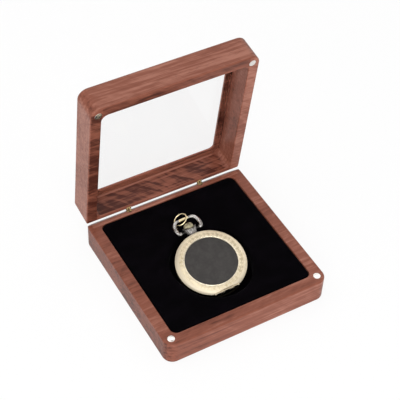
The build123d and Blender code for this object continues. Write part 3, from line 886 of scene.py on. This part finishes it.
# ------------ dial
class DISPLAYBOX_OT_dial(bpy.types.Operator):
    """Finish what lies under the front cover and print the dial's numerals and minute track"""
    bl_idname = "display_box.dial"
    bl_label = "Dial and hands"

    numerals = ("XII", "I", "II", "III", "IIII", "V", "VI", "VII", "VIII", "IX", "X", "XI")
    numeral_radius = 15.2
    numeral_size = 3.3
    ink_depth = 0.02
    dial_top = -1.05
    stroke_middle = 18.15
    stroke_length = 1.0
    broad_stroke = 0.34
    fine_stroke = 0.14
    track_rings = (17.6, 18.65)
    track_line = 0.09

    def execute(self, context):
        blue = metal("blued_steel", (0.03, 0.05, 0.16), (0.012, 0.016, 0.04), 0.2, WATCH, age=0.3)
        steel = metal("arbor_steel", (0.6, 0.58, 0.55), (0.3, 0.27, 0.24), 0.25, WATCH)
        finish_nodes(enamel("white_enamel"), "watch_dial")
        finish_nodes(blue, "watch_hour_hand", "watch_minute_hand")
        finish_nodes(steel, "watch_hand_arbor", "watch_stem")
        finish_nodes(gilt("gilt_plate"), "watch_movement")
        finish_nodes(moulded("spacer_plastic", (0.6, 0.6, 0.57)), "watch_movement_spacer")
        ink = moulded("dial_ink", (0.02, 0.02, 0.024))
        self.print_numerals(ink)
        self.print_track(ink)
        return {"FINISHED"}

    def print_numerals(self, ink):
        printed = []
        for hour, text in enumerate(self.numerals):
            deselect()
            bpy.ops.object.text_add(location=(0, 0, 0))
            word = bpy.context.object
            word.data.body = text
            word.data.size = self.numeral_size * MM
            word.data.extrude = self.ink_depth / 2 * MM
            word.data.align_x = "CENTER"
            word.data.align_y = "CENTER"
            bpy.ops.object.convert(target="MESH")
            word = bpy.context.object
            out = Matrix.Translation((0, self.numeral_radius * MM, (self.dial_top + self.ink_depth / 2) * MM))
            word.matrix_world = Matrix.Rotation(-math.radians(30 * hour), 4, "Z") @ out
            printed.append(word)
        numerals = joined(printed, "dial_numerals")
        laid(numerals, WATCH)
        dressed(numerals, ink, "watch")

    def print_track(self, ink):
        """Sixty minute strokes, every fifth one broader, between two fine rings."""
        parts = []
        for minute in range(60):
            width = self.fine_stroke if minute % 5 else self.broad_stroke
            deselect()
            bpy.ops.mesh.primitive_cube_add(
                size=1, location=(0, self.stroke_middle * MM, (self.dial_top + self.ink_depth / 2) * MM),
                scale=(width * MM, self.stroke_length * MM, self.ink_depth * MM))
            stroke = bpy.context.object
            stroke.matrix_world = Matrix.Rotation(math.radians(6 * minute), 4, "Z") @ stroke.matrix_world
            parts.append(stroke)
        low, high = self.dial_top, self.dial_top + self.ink_depth
        for inner in self.track_rings:
            outer = inner + self.track_line
            outline = [(inner, low), (outer, low), (outer, high), (inner, high), (inner, low)]
            parts.append(turned("track_ring", outline, 128))
        track = settled(joined(parts, "dial_minute_track"))
        laid(track, WATCH)
        dressed(track, ink, "watch")


# ------------ pendant, crown and bow
class DISPLAYBOX_OT_pendant(bpy.types.Operator):
    """Model the petalled pendant and the fluted winding crown"""
    bl_idname = "display_box.pendant"
    bl_label = "Pendant and crown"

    petal_root = 27.3
    pendant_outline = ((0.62, 22.0), (1.7, 22.0), (1.7, 23.55), (3.35, 23.58), (3.6, 23.8), (3.6, 24.1),
                       (3.35, 24.35), (3.3, 24.8), (3.4, 25.6), (3.62, 26.6), (3.85, 27.3), (4.05, 28.0),
                       (4.35, 28.8), (4.7, 29.6), (5.0, 30.2), (5.0, 30.5), (4.7, 30.6), (4.3, 30.4),
                       (3.95, 29.6), (3.6, 28.6), (3.3, 27.8), (3.05, 27.35), (2.6, 27.2), (0.62, 27.2),
                       (0.62, 22.0))
    crown_outline = ((0.56, 29.1), (0.56, 27.7), (2.0, 27.65), (2.5, 28.1), (2.95, 29.2), (3.28, 30.3),
                     (3.4, 31.2), (3.28, 32.1), (2.85, 32.8), (2.2, 33.2), (1.7, 33.3), (1.5, 33.45),
                     (1.0, 33.66), (0.5, 33.7), (0.15, 33.7))

    def execute(self, context):
        watch = context.scene.display_box_watch
        silver = metal("pendant_silver", watch.silver, (0.07, 0.06, 0.05), 0.15, PENDANT, age=0.56)
        brass = metal("crown_brass", (0.52, 0.47, 0.31), (0.13, 0.11, 0.065), 0.22, PENDANT, age=0.5)
        self.pendant(watch.petal_ribs, silver)
        self.crown(watch.flutes, brass)
        return {"FINISHED"}

    def pendant(self, ribs, silver):
        """A cup whose mouth dips at the front and the back, so that two ribbed petals stand up."""
        per_rib = 4
        count = ribs * per_rib
        cup = turned("petal_pendant", self.pendant_outline, count)
        root = self.petal_root * MM
        for place in range(count):
            dip = 0.86 * math.sin(2 * math.pi * place / count)**2
            pick_points(cup, lambda p: p.z > root and column(p, count) == place)
            bpy.ops.transform.resize(value=(1, 1, 1 - dip), center_override=(0, 0, root))
        pick_points(cup, lambda p: self.is_outside(p) and column(p, count) % per_rib == 0)
        bpy.ops.transform.resize(value=(0.93, 0.93, 1), center_override=(0, 0, 0))
        leave_edit()
        apply(cup, "SUBSURF", levels=1, render_levels=1)
        laid(cup, PENDANT)
        dressed(cup, silver, "watch", ("watch_pendant",), math.radians(60))

    def is_outside(self, point):
        """Whether a point is on the cup's outer face, above its collar."""
        return point.z > 25.0 * MM and math.hypot(point.x, point.y) > 0.125 * point.z + 0.1 * MM

    def crown(self, flutes, brass):
        per_flute = 4
        count = flutes * per_flute
        knob = turned("fluted_crown", self.crown_outline, count)

        def in_flute(p):
            radius = math.hypot(p.x, p.y)
            return radius > 1.9 * MM and p.z > 28.5 * MM and column(p, count) % per_flute == 0

        pick_points(knob, in_flute)
        bpy.ops.transform.resize(value=(0.88, 0.88, 1), center_override=(0, 0, 0))
        leave_edit()
        apply(knob, "SUBSURF", levels=1, render_levels=1)
        laid(knob, PENDANT)
        dressed(knob, brass, "watch_winding_crown", ("watch_crown",), math.radians(60))


class DISPLAYBOX_OT_bow(bpy.types.Operator):
    """Model the bow, thick along its arms and slimmer at its bar, and finish its pins and jump ring"""
    bl_idname = "display_box.bow"
    bl_label = "Bow and jump ring"

    arm = ((7.3, 0.0, 1.1), (8.1, 0.15, 1.15), (8.7, 1.6, 1.3), (8.8, 4.2, 1.4), (8.5, 6.8, 1.4),
           (7.4, 9.1, 1.35), (5.6, 10.2, 1.2), (4.0, 10.3, 0.95), (2.4, 10.2, 0.85))
    flatten = 0.82
    foot_radius = 1.42

    def execute(self, context):
        watch = context.scene.display_box_watch
        silver = metal("bow_silver", watch.silver, (0.10, 0.09, 0.075), 0.17, BOW, age=0.42)
        ring = metal("ring_brass", (0.84, 0.72, 0.46), (0.4, 0.28, 0.13), 0.22, WATCH, age=0.3)
        dark = metal("blackened_pin", (0.07, 0.065, 0.06), (0.03, 0.03, 0.03), 0.4, WATCH)
        finish_nodes(ring, "watch_jump_ring")
        finish_nodes(dark, "watch_bow_pins")
        bow = joined([self.loop()] + [self.foot(side) for side in (-1, 1)], "bow_stirrup")
        laid(bow, BOW)
        self.sleeve(ring)
        dressed(bow, silver, "watch_bow_loop", ("watch_bow",), math.radians(60))
        return {"FINISHED"}

    def sleeve(self, brass):
        """The smooth brass sleeve on the bar, where the jump ring hangs."""
        outline = [(0.3, -3.4), (0.95, -3.4), (1.08, -3.25), (1.08, 3.25), (0.95, 3.4), (0.3, 3.4),
                   (0.3, -3.4)]
        sleeve = turned("bow_sleeve", outline, 24)
        on_bar = Matrix.Translation((0, self.arm[-1][1] * MM, 0)) @ Matrix.Rotation(math.pi / 2, 4, "Y")
        laid(sleeve, BOW @ on_bar)
        dressed(sleeve, brass, "watch_bow_loop")

    def loop(self):
        """One smooth line up one arm, over the bar and down the other, thickened point by point."""
        points = list(self.arm) + [(-x, y, r) for x, y, r in reversed(self.arm)]
        deselect()
        bpy.ops.curve.primitive_nurbs_path_add(location=(0, 0, 0))
        line = bpy.context.object
        line.data.splines.clear()
        spline = line.data.splines.new("NURBS")
        spline.points.add(len(points) - 1)
        for point, (x, y, radius) in zip(spline.points, points):
            point.co = (x * MM, y * MM, 0, 1)
            point.radius = radius
        spline.use_endpoint_u = True
        spline.order_u = 4
        spline.resolution_u = 8
        line.data.bevel_depth = MM
        line.data.bevel_resolution = 6
        line.data.use_fill_caps = True
        bpy.ops.object.convert(target="MESH")
        loop = bpy.context.object
        loop.name = "bow_loop"
        edit(loop)
        bpy.ops.transform.resize(value=(1, 1, self.flatten), center_override=(0, 0, 0))
        leave_edit()
        return closed(loop)

    def foot(self, side):
        """A round foot with a small turned collar on its outer face."""
        r = self.foot_radius
        outline = [(0.56, -r * 0.92)]
        for step in range(1, 12):
            angle = math.pi * (step / 12 - 0.5)
            outline.append((max(0.56, r * math.cos(angle)), r * math.sin(angle)))
        outline += [(0.85, r * 0.97), (0.85, r * 1.12), (0.56, r * 1.15), (0.56, -r * 0.92)]
        foot = turned("bow_foot", outline, 32)
        x, y = self.arm[0][:2]
        turn = Matrix.Rotation(side * math.pi / 2, 4, "Y")
        laid(foot, Matrix.Translation((side * x * MM, y * MM, 0)) @ turn)
        return foot


# ------------ stage
class DISPLAYBOX_OT_stage(bpy.types.Operator):
    """Lay the pale floor, hang the soft lamps and set up the camera"""
    bl_idname = "display_box.stage"
    bl_label = "Stage, lamps and camera"

    azimuth = math.radians(-31.66)
    elevation = math.radians(46.67)
    roll = math.radians(2.99)
    eye = (-271.2, -431.1, 605.7)
    lens = 106.25
    floor_keep = 0.12
    plain_rays = ("Is Camera Ray", "Is Transmission Ray", "Is Glossy Ray")

    def execute(self, context):
        stage = context.scene.display_box_stage
        self.floor(stage)
        self.world(stage)
        self.lamp("key_lamp", (-0.55, -1.15, 0.66), 1.5, 17.0)
        self.lamp("top_lamp", (-0.55, 0.15, 1.35), 1.4, 5.0)
        self.lamp("back_lamp", (0.5, 0.95, 1.0), 1.0, 2.0)
        self.camera()
        context.scene.view_settings.view_transform = "Standard"
        return {"FINISHED"}

    def floor(self, stage):
        """A floor whose own colour is near white, and which stays white to the eye and in metal."""
        deselect()
        bpy.ops.mesh.primitive_plane_add(size=6, location=(0, 0, 0))
        floor = bpy.context.object
        floor.name = "floor"
        f = Finish("pale_floor")
        grain = f.noise(f.point, 220, detail=2)
        f.set(Base_Color=f.mix(grain, [c * 0.99 for c in stage.floor], stage.floor), Roughness=0.9)
        f.set(Specular_IOR_Level=0.0)
        seen = f.any_ray(*self.plain_rays)
        glow = f.add("ShaderNodeEmission", Color=(1, 1, 1), Strength=1.0)
        f.swap(f.maths("MULTIPLY", seen, 1 - self.floor_keep), glow)
        floor.data.materials.append(f.material)

    def world(self, stage):
        """An even white room, full white to the eye and in metal, that lights more softly."""
        world = bpy.data.worlds.new("studio")
        bpy.context.scene.world = world
        world.use_nodes = True
        room = Tree(world.node_tree)
        room.nodes.clear()
        level = room.add("ShaderNodeMapRange", Value=room.any_ray(*self.plain_rays),
                         To_Min=stage.ambient, To_Max=1.0)
        sky = room.add("ShaderNodeBackground", Color=(1, 1, 1), Strength=level.outputs[0])
        room.add("ShaderNodeOutputWorld", Surface=sky.outputs[0])

    def lamp(self, name, place, size, power):
        data = bpy.data.lights.new(name, "AREA")
        data.shape = "DISK"
        data.size = size
        data.energy = power
        lamp = bpy.data.objects.new(name, data)
        bpy.context.scene.collection.objects.link(lamp)
        lamp.location = place
        lamp.rotation_euler = (-Vector(place)).to_track_quat("-Z", "Y").to_euler()

    def camera(self):
        a, e, r = self.azimuth, self.elevation, self.roll
        back = Vector((math.sin(a) * math.cos(e), -math.cos(a) * math.cos(e), math.sin(e)))
        right = Vector((math.cos(a), math.sin(a), 0))
        up = back.cross(right)
        across = math.cos(r) * right + math.sin(r) * up
        above = -math.sin(r) * right + math.cos(r) * up
        data = bpy.data.cameras.new("camera")
        data.lens = self.lens
        data.clip_start = 0.02
        camera = bpy.data.objects.new("camera", data)
        bpy.context.scene.collection.objects.link(camera)
        place = Matrix((across, above, back)).transposed().to_4x4()
        place.translation = Vector(self.eye) * MM
        camera.matrix_world = place
        bpy.context.scene.camera = camera


# ------------ panel and registration
class DISPLAYBOX_PT_panel(bpy.types.Panel):
    """Lists the settings and the pieces of the display box"""
    bl_idname = "DISPLAYBOX_PT_panel"
    bl_label = "Display Box"
    bl_space_type = "VIEW_3D"
    bl_region_type = "UI"
    bl_category = "Display Box"

    def draw(self, context):
        for attribute, group in SETTINGS.items():
            box = self.layout.box()
            for name in group.__annotations__:
                box.prop(getattr(context.scene, attribute), name)
        for piece in PIECES:
            self.layout.operator(piece.bl_idname)


SETTINGS = {
    "display_box_wood": WoodSettings,
    "display_box_pad": PadSettings,
    "display_box_watch": WatchSettings,
    "display_box_stage": StageSettings,
}
PIECES = (
    DISPLAYBOX_OT_stage,
    DISPLAYBOX_OT_walnut,
    DISPLAYBOX_OT_pane,
    DISPLAYBOX_OT_magnets,
    DISPLAYBOX_OT_hinges,
    DISPLAYBOX_OT_pad,
    DISPLAYBOX_OT_watch_case,
    DISPLAYBOX_OT_dial,
    DISPLAYBOX_OT_pendant,
    DISPLAYBOX_OT_bow,
)
CLASSES = (*SETTINGS.values(), *PIECES, DISPLAYBOX_PT_panel)


def register():
    for cls in CLASSES:
        bpy.utils.register_class(cls)
    for attribute, group in SETTINGS.items():
        setattr(bpy.types.Scene, attribute, bpy.props.PointerProperty(type=group))


def unregister():
    for attribute in SETTINGS:
        delattr(bpy.types.Scene, attribute)
    for cls in reversed(CLASSES):
        bpy.utils.unregister_class(cls)


def main():
    register()
    for piece in PIECES:
        group, name = piece.bl_idname.split(".")
        getattr(getattr(bpy.ops, group), name)()


if __name__ == "__main__":
    main()
